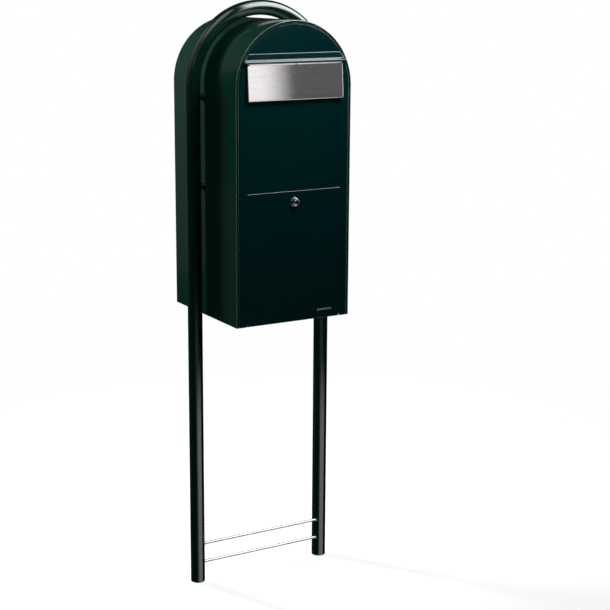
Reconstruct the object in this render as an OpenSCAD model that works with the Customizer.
// Parcel drop box on an arched tube stand.
// Millimetres, +Z up. The origin is on the ground line, midway between the two legs,
// and the box's front faces -Y. Left and right are as seen from the front: left is -X.

/* [Box] */
// Width of the box
box_w = 360; // [340:1:400]
// Depth of the box from the front face to the back edge
box_d = 380; // [340:1:420]
// Height of the box to the top of its arch
box_h = 828; // [800:1:860]
// Height of the box's bottom edge above the leg ends
box_z = 812; // [700:1:900]
// Thickness of the box's sheet steel
sheet = 1.5; // [1.2:0.1:1.8]
// Width of the jacket's flange around the front
rim_w = 9; // [8:0.5:11]
// Width of the groove between the flange and the front panel
groove = 1.5; // [1:0.1:2]
// Width of the jacket's flange around the back
back_rim_w = 14; // [10:1:20]

/* [Stand] */
// Outer diameter of the stand's tube
tube_d = 42; // [38:1:48]
// Wall thickness of the tube
tube_wall = 2; // [1.5:0.5:3]
// Gap between the tube and the box
stand_gap = 8; // [6:1:12]
// Distance from the front face back to the tube's centre line
stand_back = 198; // [180:1:220]
// Height of the lower pair of side fixings
fix_low_z = 1180; // [1100:1:1200]
// Height of the upper pair of side fixings
fix_high_z = 1428; // [1350:1:1440]
// Diameter of the anchor rods
rod_d = 8; // [6:1:10]
// Height of the lower anchor rod
rod_low_z = 61; // [40:1:80]
// Height of the upper anchor rod
rod_high_z = 118; // [100:1:160]
// Distance of the anchor rods ahead of the tube's centre line
rod_ahead = 9.5; // [8:0.5:11]

/* [Door] */
// Width of the door
door_w = 295; // [280:1:300]
// Height of the door
door_h = 368; // [340:1:400]
// Gap between the door and the front panel
door_gap = 1.5; // [1:0.1:2]
// Depth of the door's turned-in sides
door_fold = 18; // [16:1:18]
// Distance of the hinge axis from the door's face and from its bottom edge
hinge_in = 6; // [6:0.5:7]
// Distance of the lock's axis below the door's top edge
lock_drop = 30; // [30:1:40]

/* [Letter flap] */
// Width of the flap
flap_w = 297; // [290:1:298]
// Length of the flap from its pivot to its bottom edge
flap_l = 98.2; // [90:0.1:99]
// Height of the flap's pivot above the box's bottom edge
pivot_up = 715; // [700:0.5:716]
// Distance of the flap's pivot ahead of the front face
pivot_out = 3.2; // [3:0.1:4]
// Angle at which the closed flap leans out
flap_lean = 4; // [3:0.5:5]
// Thickness of the flap's stainless sheet
flap_t = 1.2; // [1:0.1:1.5]

/* [Hidden] */
$fn = 72;

paint = [0.02, 0.16, 0.13];
front_paint = [0.01, 0.12, 0.13];
stainless = [0.80, 0.79, 0.78];
zinc = [0.66, 0.68, 0.70];
chrome = [0.85, 0.86, 0.88];
black = [0.05, 0.05, 0.05];

tiny = 0.01;                             // overlap that keeps a cut from ending on a face
body_r = box_w / 2;                      // half the box's width, and its arch's radius
arch_z = box_z + box_h - body_r;         // height of the centre of both arches
front_y = -stand_back;                   // front face of the box
tube_r = tube_d / 2;
bend_r = body_r + stand_gap + tube_r;    // from the arch's centre to the tube's centre line
plug_lip = 2;                            // the part of a leg plug that covers the tube's end
lip_d = 16;                              // depth of the turned-back lip behind the front flange
panel_r = body_r - rim_w - groove;       // half the front panel's width
panel_fold = 14;                         // depth of the front panel's turned-in edge
rivet_r = 2;
rivet_head_r = 3.6;
rivet_head = 1.2;
panel_rivet_up = [88, 318, 548];         // heights of the side rivets above the box's bottom edge
arch_rivets = [45, 90, 135];             // angles of the rivets around the arch

floor_z = box_z + 6;                     // underside of the floor
floor_front = 16.5;                      // from the front face back to the floor's front edge
wall_hole_x = 240;                       // spacing of the wall fixing holes
wall_hole_z = 500;
wall_hole_r = 4;
wall_hole_mid = box_z + 338;             // height of the middle of the wall fixing holes
drain_r = 3;
drain_in = 40;                           // from the floor's sides in to the drain holes
inner_clear = 0.2;                       // around the floor and the back panel inside the jacket

plug_in = 18;                            // how far a leg plug reaches into the tube
plug_wall = 2.5;
plug_chamfer = 1;
insert_r = 4.5;                          // threaded inserts set in the tube
insert_in = 0.6;                         // from the tube's outside in to the insert's face
insert_l = 14.4;
bolt_r = 2.95;
bolt_clear = 0.25;                       // radial clearance of a bolt in its hole
bolt_short = 8;                          // from the tube's middle back to a bolt's end
bolt_head_r = 5.5;
bolt_head = 4;
socket_r = 2.9;                          // hexagon socket of a bolt, across its corners
socket_d = 2;
spacer_r = 9;
washer_t = 1.5;

door_top = box_z + door_h;
door_half = door_w / 2;
frame_half = door_half + door_gap;       // half the width of the door's opening
frame_top = door_top + door_gap;
frame_d = 20;                            // depth of the walls around the door's opening
frame_bottom = floor_z + sheet + 0.5;
stop_w = 10;                             // width of the flange that stops the door
seal_t = 1.6;
seal_w = 8;
strike_half = 20;
strike_t = 0.8;
door_sill = 8;                           // depth of the door's bottom edge
door_notch = 12;                         // height at which the door's deep sides start
stiff_out = [11, 12.2];                  // from the front face back to the stiffener's crown
stiff_half = 28;
stiff_t = 1.2;
badge_x = [76, 123];
badge_up = [22, 27];                     // above the door's bottom edge
badge_t = 0.4;
hinge_y = hinge_in;                      // hinge axis, back from the front face
hinge_z = box_z + hinge_in;
hinge_rod_r = 2;
knuckle_r = 4;
run_clear = 0.05;                        // radial running clearance of a hinge
bracket_x = [-120, 0, 120];              // middles of the hinge brackets
bracket_w = 12;
leaf_x = [-92, -34, 34, 92];             // middles of the hinge leaves
leaf_w = 40;
leaf_h = 28;
arm_low = 3.4;                           // underside of a bracket's arm above the hinge axis
arm_t = 3;
arm_back = 11.5;                         // from the hinge axis back to the bracket's upright
upright_t = 2.5;
foot_l = 16;                             // depth of a bracket's foot
foot_t = 2;
foot_rivet = 22;                         // from the hinge axis back to the foot's rivet
leaf_rivet_x = 12;
leaf_rivet_down = 9;
rod_head_r = 3.5;
pin_fit = 0.02;

slot_low = box_z + 628;                  // bottom of the letter slot
slot_high = box_z + 719;
slot_half = 146.5;
collar_t = 1.2;
collar_gap = 1.2;                        // from the slot's edge out to the collar
collar_d = 16;
pivot_z = box_z + pivot_up;
flap_half = flap_w / 2;
flap_rod_r = 1.5;
sleeve_r = 3.2;
sleeve_w = 30;
ear_x = [-144, 0, 144];                  // middles of the flap's pivot ears
ear_t = 2;
ear_r = 2.7;
flap_face = sleeve_r + flap_t;           // from the pivot's axis out to the front of the flap's curl
hood_low = box_z + 716;
hood_high = box_z + 741.5;
hood_top_half = 141;
hood_lip_half = 159.5;
hood_out = 11;                           // how far the hood's lip stands out
hood_t = 1.2;
hood_lip = 5.2;                          // height of the lip
hood_nose_r = 1.3;                       // rolled edge of the lip
hood_face_out = 3.3;                     // how far the steep face stands out at its foot
hood_face_drop = 17;
flap_set_back = 2.9;                     // from the front of the flap's curl back to its flat face
flap_back_low = 8;                       // how far the bottom edge turns back past the pivot line
flap_back_high = 1.8;
curl_in = 7;                             // from the flap's sides in to the ends of its curl
bumper_x = 125;
bumper_r = 3;
bumper_t = 1.2;
bumper_up = 2.3;                         // from the flap's bottom edge up to the bumpers
chute_half = 166;
chute_run = 196;                         // how far back the chute's slope ends
chute_fall = 66;
chute_apron = 26;                        // depth of the chute's front and of its sides there
chute_edge = 8;                          // depth of the sides at the far end
chute_top = slot_low - collar_gap - collar_t - 1;
bracket_foot = 14;                       // width of a flap bracket's foot

lock_z = door_top - lock_drop;
plug_r = 6;
barrel_r = 9;
barrel_back = 22.3;                      // rear end of the lock's barrel, behind the front face
head_out = 11;                           // how far the lock's head stands out
head_r = 10.5;
ring_r = 13.5;
ring_t = 3;
ring_notches = 10;
cam_y = 22.8;                            // front face of the cam, behind the door's face
cam_t = 2;
cam_reach = 44;
cam_w = 14;
screw_r = 1.9;
screw_head_r = 3.8;
screw_head = 2.6;
screw_slot = 1;
notch_r = 1.9;
notch_out = 0.4;                         // from the ring's edge out to the middles of its notches
head_chamfer = [1.5, 1.2];               // along the head's axis, and in from its side
recess_w = 1.6;                          // ring-shaped recess around the plug
recess_d = 1.2;
plug_sunk = 0.9;
key_half = [0.9, 3.8];                   // half the keyway's width and height
key_d = 4;
tang = 3.5;                              // half the side of the square that drives the cam
cam_eye_r = 9.5;
cam_washer_t = 0.8;
nut_t = 4.5;
nut_r = 14;

// ---- placing ----

// Moves what is drawn from the front face backwards to its place.
module at_front() {
    translate([0, front_y, 0]) children();
}

// Repeats a fixing drawn along +X on both sides and at both heights of the stand.
module at_fixings() {
    for (side = [0, 1], z = [fix_low_z, fix_high_z])
        mirror([side, 0, 0]) translate([0, 0, z]) children();
}

// Repeats a rivet drawn along +X around the edge of the front panel.
module at_panel_rivets() {
    for (side = [0, 1], up = panel_rivet_up)
        mirror([side, 0, 0]) translate([0, panel_fold / 2 + sheet, box_z + up]) children();
    for (angle = arch_rivets)
        translate([0, panel_fold / 2 + sheet, arch_z]) rotate([0, -angle, 0]) children();
}

// Turns what is drawn hanging straight down from the pivot to the closed flap's lean.
module at_pivot() {
    at_front() translate([0, -pivot_out, pivot_z]) rotate([-flap_lean, 0, 0]) children();
}

// ---- shapes ----

module x_rod(r, x0, x1) {
    translate([x0, 0, 0]) rotate([0, 90, 0]) cylinder(h = x1 - x0, r = r);
}

module y_rod(r, y0, y1) {
    translate([0, y1, 0]) rotate([90, 0, 0]) cylinder(h = y1 - y0, r = r);
}

// A block from one corner to the opposite one.
module block(low, high) {
    translate(low) cube(high - low);
}

// Extrudes an outline in (y, z) across the width, from x0 to x1.
module along_x(x0, x1) {
    translate([x0, 0, 0]) rotate([90, 0, 90]) linear_extrude(x1 - x0) children();
}

// Extrudes an outline in (x, z) backwards from y0 to y1.
module along_y(y0, y1) {
    translate([0, y1, 0]) rotate([90, 0, 0]) linear_extrude(y1 - y0) children();
}

// The box's outline: straight sides under a half circle.
module arch_outline(r, bottom) {
    translate([0, arch_z]) circle(r);
    translate([-r, bottom]) square([2 * r, arch_z - bottom]);
}

module arch_block(r, bottom, y0, y1) {
    along_y(y0, y1) arch_outline(r, bottom);
}

// A sheet wall that follows the box's outline.
module arch_wall(r, thick, y0, y1) {
    difference() {
        arch_block(r, box_z, y0, y1);
        arch_block(r - thick, box_z - 1, y0 - 1, y1 + 1);
    }
}

// ---- stand ----

module leg_tube() {
    difference() {
        cylinder(h = arch_z - plug_lip, r = tube_r);
        translate([0, 0, -1]) cylinder(h = arch_z, r = tube_r - tube_wall);
    }
}

module bend_tube() {
    translate([0, 0, arch_z]) rotate([90, 0, 0]) rotate_extrude(angle = 180, $fn = 144)
        translate([bend_r, 0]) difference() {
            circle(tube_r);
            circle(tube_r - tube_wall);
        }
}

module anchor_rod(z) {
    translate([0, -rod_ahead, z]) x_rod(rod_d / 2, -bend_r + rod_ahead + 4, bend_r - rod_ahead - 4);
}

module stand_tube() {
    color(paint) difference() {
        union() {
            for (side = [-1, 1]) translate([side * bend_r, 0, plug_lip]) leg_tube();
            bend_tube();
        }
        for (z = [rod_low_z, rod_high_z])
            translate([0, -rod_ahead, z]) x_rod(rod_d / 2, -bend_r, bend_r);
        at_fixings() x_rod(insert_r, body_r, bend_r);
    }
}

module leg_plug(side) {
    color(black) translate([side * bend_r, 0, 0]) {
        cylinder(h = plug_lip, r1 = tube_r - plug_chamfer, r2 = tube_r);
        translate([0, 0, plug_lip]) difference() {
            cylinder(h = plug_in, r = tube_r - tube_wall);
            translate([0, 0, plug_lip]) cylinder(h = plug_in, r = tube_r - tube_wall - plug_wall);
        }
    }
}

module leg_plug_left() {
    leg_plug(-1);
}

module leg_plug_right() {
    leg_plug(1);
}

module anchor_rod_upper() {
    color(stainless) anchor_rod(rod_high_z);
}

module anchor_rod_lower() {
    color(stainless) anchor_rod(rod_low_z);
}

module tube_inserts() {
    color(zinc) at_fixings() difference() {
        x_rod(insert_r, bend_r - tube_r + insert_in, bend_r - tube_r + insert_in + insert_l);
        x_rod(bolt_r + run_clear, body_r, bend_r);
    }
}

module stand_spacers() {
    color(black) at_fixings() difference() {
        x_rod(spacer_r, body_r, body_r + stand_gap + 2);
        x_rod(insert_r, body_r + stand_gap - 1, bend_r);
        x_rod(bolt_r + bolt_clear, body_r - 1, bend_r);
        translate([bend_r, 0, -spacer_r - 1]) cylinder(h = 2 * spacer_r + 2, r = tube_r);
    }
}

module stand_washers() {
    color(zinc) at_fixings() difference() {
        x_rod(spacer_r, body_r - sheet - washer_t, body_r - sheet);
        x_rod(bolt_r + bolt_clear, body_r - 10, body_r);
    }
}

module stand_bolts() {
    inner = body_r - sheet - washer_t;
    color(zinc) at_fixings() {
        x_rod(bolt_r, inner - tiny, bend_r - bolt_short);
        difference() {
            x_rod(bolt_head_r, inner - bolt_head, inner);
            translate([inner - bolt_head - 1, 0, 0]) rotate([0, 90, 0])
                cylinder(h = socket_d + 1, r = socket_r, $fn = 6);
        }
    }
}

// ---- box ----

module jacket() {
    color(paint) at_front() difference() {
        union() {
            arch_wall(body_r, sheet, 0, box_d);
            arch_wall(body_r, rim_w, 0, sheet);
            arch_wall(body_r - rim_w + sheet, sheet, 0, lip_d);
            arch_wall(body_r, back_rim_w, box_d - sheet, box_d);
        }
        translate([0, stand_back, 0]) at_fixings() x_rod(bolt_r + bolt_clear, body_r - 4, body_r + 1);
        at_panel_rivets() x_rod(rivet_r, body_r - rim_w - 1, body_r - rim_w + sheet + 1);
    }
}

module back_panel() {
    back = box_d - sheet;
    color(paint) at_front() difference() {
        arch_block(body_r - sheet - inner_clear, box_z, back - sheet, back);
        for (x = [-1, 1], z = [-1, 1])
            translate([x * wall_hole_x / 2, 0, wall_hole_mid + z * wall_hole_z / 2])
                y_rod(wall_hole_r, back - 5, back + 5);
    }
}

module floor_pan() {
    half = body_r - sheet - inner_clear;
    back = box_d - 2 * sheet - inner_clear;
    color(paint) at_front() difference() {
        block([-half, floor_front, box_z], [half, back, floor_z + sheet]);
        block([-half + sheet, floor_front + sheet, box_z - 1], [half - sheet, back - sheet, floor_z]);
        for (x = [-1, 1], y = [floor_front + drain_in, back - drain_in])
            translate([x * (half - drain_in), y, box_z]) cylinder(h = 20, r = drain_r);
    }
}

module door_frame() {
    difference() {
        block(
            [-frame_half - sheet, 0, frame_bottom],
            [frame_half + sheet, frame_d + sheet, frame_top + sheet]
        );
        block([-frame_half, -1, box_z], [frame_half, frame_d, frame_top]);
        block([-frame_half + stop_w, -1, box_z], [frame_half - stop_w, frame_d + 5, frame_top - stop_w]);
    }
}

module front_panel() {
    color(front_paint) at_front() difference() {
        union() {
            difference() {
                arch_block(panel_r, box_z, 0, sheet);
                block([-frame_half, -1, box_z - 1], [frame_half, sheet + 1, frame_top]);
            }
            arch_wall(panel_r, sheet, 0, panel_fold);
            door_frame();
        }
        block([-slot_half, -1, slot_low], [slot_half, sheet + 1, slot_high]);
        at_panel_rivets() x_rod(rivet_r, panel_r - sheet - 1, panel_r + 1);
    }
}

module panel_rivets() {
    inner = panel_r - sheet - run_clear;
    outer = body_r - rim_w + sheet;
    color(zinc) at_front() at_panel_rivets() {
        x_rod(rivet_r, inner, outer);
        x_rod(rivet_head_r, inner - rivet_head, inner);
        x_rod(rivet_head_r, outer, outer + rivet_head);
    }
}

// ---- letter slot ----

// The hood's outline from the side, with its foot on the panel, less an offset all round.
module hood_side(less) {
    polygon([
        [less, hood_high - less * 1.5],
        [less - hood_face_out, hood_high - hood_face_drop - less * 0.6],
        [-hood_out + less, hood_low + hood_lip - less],
        [-hood_out + less, hood_low - less],
        [less, hood_low - less],
    ]);
}

// The hood's outline from the front, with bevelled ends.
module hood_front(less) {
    half = hood_lip_half - less;
    top = hood_top_half - less * 0.6;
    polygon([
        [-top, hood_high + tiny],
        [top, hood_high + tiny],
        [half, hood_low + hood_lip],
        [half, hood_low - less - tiny],
        [-half, hood_low - less - tiny],
        [-half, hood_low + hood_lip],
    ]);
}

module hood_block(less) {
    intersection() {
        along_x(-hood_lip_half, hood_lip_half) hood_side(less);
        along_y(-hood_out - 1, 2) hood_front(less);
    }
}

module slot_hood() {
    color(paint) at_front() {
        difference() {
            hood_block(0);
            hood_block(hood_t);
        }
        translate([0, hood_nose_r - hood_out, hood_low + hood_nose_r])
            x_rod(hood_nose_r, -hood_lip_half, hood_lip_half);
    }
}

module slot_collar() {
    gap = collar_gap;
    wall = collar_gap + collar_t;
    color(paint) at_front() difference() {
        block(
            [-slot_half - wall, sheet, slot_low - wall],
            [slot_half + wall, sheet + collar_d, slot_high + wall]
        );
        block([-slot_half - gap, 0, slot_low - gap], [slot_half + gap, 40, slot_high + gap]);
    }
}

// The slope that leads post away from the slot and keeps a hand from reaching down.
module chute_plate() {
    slope = [
        [sheet, chute_top], [chute_run, chute_top - chute_fall],
        [chute_run, chute_top - chute_fall - sheet], [sheet, chute_top - sheet * 1.06],
    ];
    side = [
        [sheet, chute_top], [chute_run, chute_top - chute_fall],
        [chute_run, chute_top - chute_fall - chute_edge], [sheet, chute_top - chute_apron],
    ];
    color(paint) at_front() {
        along_x(-chute_half, chute_half) polygon(slope);
        for (s = [0, 1]) mirror([s, 0, 0]) along_x(chute_half - sheet, chute_half) polygon(side);
        block([-chute_half, sheet, chute_top - chute_apron], [chute_half, 2 * sheet, chute_top]);
    }
}

module flap_brackets() {
    top = slot_high + collar_gap;
    color(zinc) at_front() for (x = ear_x) translate([x, 0, 0]) {
        toward = x > 0 ? -1 : 1;
        difference() {
            union() {
                translate([0, -pivot_out, pivot_z]) x_rod(ear_r, -ear_t / 2, ear_t / 2);
                along_x(-ear_t / 2, ear_t / 2) polygon([
                    [-pivot_out, pivot_z - ear_r], [collar_d, pivot_z - 7], [collar_d, top],
                    [sheet + 1, top], [sheet + 1, pivot_z + ear_r], [-pivot_out, pivot_z + ear_r],
                ]);
            }
            translate([0, -pivot_out, pivot_z]) x_rod(flap_rod_r + pin_fit, -ear_t, ear_t);
        }
        block([min(0, toward * bracket_foot), 3, top - 2], [max(0, toward * bracket_foot), collar_d, top]);
    }
}

module flap_rod() {
    reach = max(ear_x) + ear_t / 2;
    color(stainless) at_front() translate([0, -pivot_out, pivot_z]) {
        x_rod(flap_rod_r, -reach - 1.2, reach + 1.2);
        for (s = [0, 1]) mirror([s, 0, 0]) x_rod(2.5, reach + 0.1, reach + 1.2);
    }
}

module flap_bumpers() {
    color(black) at_front() for (x = [-bumper_x, bumper_x])
        translate([x, 0, pivot_z - flap_l + bumper_up]) y_rod(bumper_r, -bumper_t, 0);
}

module letter_flap() {
    face = flap_set_back - flap_face;    // the flat face's outer side
    top = -flap_face;
    color(stainless) at_pivot() {
        block([-flap_half, face, -flap_l], [flap_half, face + flap_t, top]);
        block([-flap_half + curl_in, face, top], [flap_half - curl_in, face + flap_t, -sleeve_r]);
        block([-flap_half, face, -flap_l], [flap_half, flap_back_low, -flap_l + flap_t]);
        for (s = [0, 1]) mirror([s, 0, 0]) along_x(flap_half - flap_t, flap_half)
            polygon([
                [face, top], [face, -flap_l], [flap_back_low, -flap_l], [flap_back_high, top - 2], [1, top],
            ]);
        difference() {
            x_rod(flap_face, -flap_half + curl_in, flap_half - curl_in);
            x_rod(sleeve_r, -flap_half, flap_half);
            block([-flap_half, face + flap_t, -10], [flap_half, 10, 10]);
            for (x = ear_x) block([x - ear_t / 2 - 1, -10, -10], [x + ear_t / 2 + 1, 10, 10]);
        }
    }
}

module flap_sleeves() {
    far = max(ear_x) - ear_t / 2 - 1;
    near = ear_t / 2 + 1;
    color(stainless) at_pivot() for (s = [0, 1], x = [near, far - sleeve_w])
        mirror([s, 0, 0]) difference() {
            x_rod(sleeve_r, x, x + sleeve_w);
            x_rod(flap_rod_r + run_clear, x - 1, x + sleeve_w + 1);
        }
}

// ---- door ----

module door_seal() {
    in = frame_half - seal_w;
    top = frame_top - seal_w;
    color(black) at_front() difference() {
        block([-frame_half, frame_d - seal_t, frame_bottom + 6], [frame_half, frame_d, frame_top]);
        block([-in, 0, 0], [in, 100, top]);
    }
}

module strike_plate() {
    color(zinc) at_front()
        block([-strike_half, frame_d + sheet, frame_top - stop_w],
            [strike_half, frame_d + sheet + strike_t, frame_top]);
}

module hinge_brackets() {
    foot = [hinge_y + arm_back, floor_z + sheet];
    color(zinc) at_front() for (x = bracket_x) translate([x, 0, 0]) difference() {
        union() {
            translate([0, hinge_y, hinge_z]) x_rod(knuckle_r, -bracket_w / 2, bracket_w / 2);
            along_x(-bracket_w / 2, bracket_w / 2) polygon([
                [hinge_y, hinge_z + arm_low], [foot.x, hinge_z + arm_low],
                foot, [foot.x + foot_l, foot.y], [foot.x + foot_l, foot.y + foot_t],
                [foot.x + upright_t, foot.y + foot_t], [foot.x + upright_t, hinge_z + arm_low + arm_t],
                [hinge_y, hinge_z + arm_low + arm_t],
            ]);
        }
        translate([0, hinge_y, hinge_z]) x_rod(hinge_rod_r + pin_fit, -bracket_w, bracket_w);
        bracket_rivet() cylinder(h = 20, r = rivet_r, center = true);
    }
}

module bracket_rivet() {
    translate([0, hinge_y + foot_rivet, floor_z + sheet]) children();
}

module bracket_rivets() {
    color(zinc) at_front() for (x = bracket_x) translate([x, 0, 0]) bracket_rivet() {
        translate([0, 0, tiny]) cylinder(h = foot_t, r = rivet_r);
        translate([0, 0, foot_t]) cylinder(h = rivet_head, r = rivet_head_r);
    }
}

module hinge_rod() {
    reach = max(bracket_x) + bracket_w / 2;
    color(stainless) at_front() translate([0, hinge_y, hinge_z]) {
        x_rod(hinge_rod_r, -reach - 2, reach + 2);
        for (s = [0, 1]) mirror([s, 0, 0]) x_rod(rod_head_r, reach + 0.2, reach + 2);
    }
}

module door_panel() {
    color(front_paint) at_front() difference() {
        union() {
            block([-door_half, 0, box_z], [door_half, sheet, door_top]);
            block([-door_half, 0, box_z], [door_half, door_sill, box_z + sheet]);
            block([-door_half, 0, door_top - sheet], [door_half, door_fold, door_top]);
            for (s = [0, 1]) mirror([s, 0, 0])
                block([door_half - sheet, 0, box_z + door_notch], [door_half, door_fold, door_top]);
        }
        translate([0, 0, lock_z]) y_rod(barrel_r + 0.1, -5, 20);
    }
}

// A hat-shaped channel across the inside of the door.
module door_stiffener() {
    mid = box_z + door_h * 0.45;
    half = door_half - sheet - 8;
    near = sheet + stiff_t;
    crown = stiff_out[0];
    far = stiff_out[1];
    color(front_paint) at_front() along_x(-half, half) polygon([
        [sheet, mid - stiff_half], [sheet, mid - 14], [crown, mid - 10], [crown, mid + 10],
        [sheet, mid + 14], [sheet, mid + stiff_half], [near, mid + stiff_half], [near, mid + 15],
        [far, mid + 11], [far, mid - 11], [near, mid - 15], [near, mid - stiff_half],
    ]);
}

module at_leaf_rivets() {
    for (x = leaf_x, dx = [-leaf_rivet_x, leaf_rivet_x])
        translate([x + dx, 0, hinge_z + leaf_h - leaf_rivet_down]) children();
}

module hinge_leaves() {
    color(zinc) at_front() difference() {
        for (x = leaf_x) translate([x - leaf_w / 2, 0, 0]) {
            block([0, sheet, hinge_z], [leaf_w, 2 * sheet, hinge_z + leaf_h]);
            translate([0, hinge_y, hinge_z]) x_rod(knuckle_r, 0, leaf_w);
        }
        translate([0, hinge_y, hinge_z]) x_rod(hinge_rod_r + run_clear, -200, 200);
        at_leaf_rivets() y_rod(rivet_r, 0, 10);
    }
}

module leaf_rivets() {
    color(zinc) at_front() at_leaf_rivets() {
        y_rod(rivet_r, sheet + tiny, 2 * sheet);
        y_rod(rivet_head_r, 2 * sheet, 2 * sheet + rivet_head);
    }
}

module blank_badge() {
    color(zinc) at_front()
        block([badge_x[0], -badge_t, box_z + badge_up[0]], [badge_x[1], 0, box_z + badge_up[1]]);
}

// ---- lock ----

module at_lock() {
    at_front() translate([0, 0, lock_z]) children();
}

module lock_ring() {
    color(chrome) at_lock() difference() {
        y_rod(ring_r, -ring_t, 0);
        y_rod(barrel_r + 0.1, -ring_t - 1, 1);
        for (n = [0 : ring_notches - 1]) rotate([0, n * 360 / ring_notches, 0])
            translate([ring_r + notch_out, 0, 0]) y_rod(notch_r, -ring_t - 1, 1);
    }
}

module lock_body() {
    shoulder = -head_out + head_chamfer[0];
    color(chrome) at_lock() difference() {
        union() {
            y_rod(barrel_r, -ring_t, barrel_back);
            y_rod(head_r, shoulder, -ring_t);
            translate([0, shoulder, 0]) rotate([90, 0, 0])
                cylinder(h = head_chamfer[0], r1 = head_r, r2 = head_r - head_chamfer[1]);
        }
        y_rod(plug_r + run_clear, -head_out - 1, barrel_back + 1);
        y_rod(plug_r + recess_w, -head_out - 1, -head_out + recess_d);
    }
}

module lock_nut() {
    color(zinc) at_lock() difference() {
        translate([0, sheet + nut_t, 0]) rotate([90, 0, 0]) cylinder(h = nut_t, r = nut_r, $fn = 6);
        y_rod(barrel_r + run_clear, 0, sheet + nut_t + 1);
    }
}

module lock_plug() {
    face = -head_out + plug_sunk;
    color(chrome) at_lock() difference() {
        union() {
            y_rod(plug_r, face, cam_y);
            block([-tang, cam_y - tiny, -tang], [tang, cam_y + cam_t, tang]);
        }
        block([-key_half.x, face - 1, -key_half.y], [key_half.x, face + key_d, key_half.y]);
        y_rod(screw_r, cam_y - 8, cam_y + 10);
    }
}

module lock_cam() {
    hole = tang + run_clear;
    color(zinc) at_lock() difference() {
        union() {
            y_rod(cam_eye_r, cam_y, cam_y + cam_t);
            block([0, cam_y, -cam_w / 2], [cam_reach, cam_y + cam_t, cam_w / 2]);
        }
        block([-hole, cam_y - 1, -hole], [hole, cam_y + cam_t + 1, hole]);
    }
}

module cam_washer() {
    color(zinc) at_lock() difference() {
        y_rod(plug_r, cam_y + cam_t, cam_y + cam_t + cam_washer_t);
        y_rod(screw_r + 0.2, cam_y, cam_y + 10);
    }
}

module cam_screw() {
    top = cam_y + cam_t + cam_washer_t;
    deep = top + screw_head - 1.2;
    half = screw_slot / 2;
    color(zinc) at_lock() difference() {
        union() {
            y_rod(screw_r, cam_y - 7, top);
            y_rod(screw_head_r, top, top + screw_head);
        }
        block([-5, deep, -half], [5, top + 5, half]);
        block([-half, deep, -5], [half, top + 5, 5]);
    }
}

stand_tube();
leg_plug_left();
leg_plug_right();
anchor_rod_upper();
anchor_rod_lower();
tube_inserts();
stand_spacers();
stand_washers();
stand_bolts();
jacket();
back_panel();
floor_pan();
front_panel();
panel_rivets();
slot_hood();
slot_collar();
chute_plate();
flap_brackets();
flap_rod();
flap_bumpers();
door_seal();
strike_plate();
hinge_brackets();
bracket_rivets();
hinge_rod();
letter_flap();
flap_sleeves();
door_panel();
door_stiffener();
hinge_leaves();
leaf_rivets();
blank_badge();
lock_ring();
lock_body();
lock_nut();
lock_plug();
lock_cam();
cam_washer();
cam_screw();
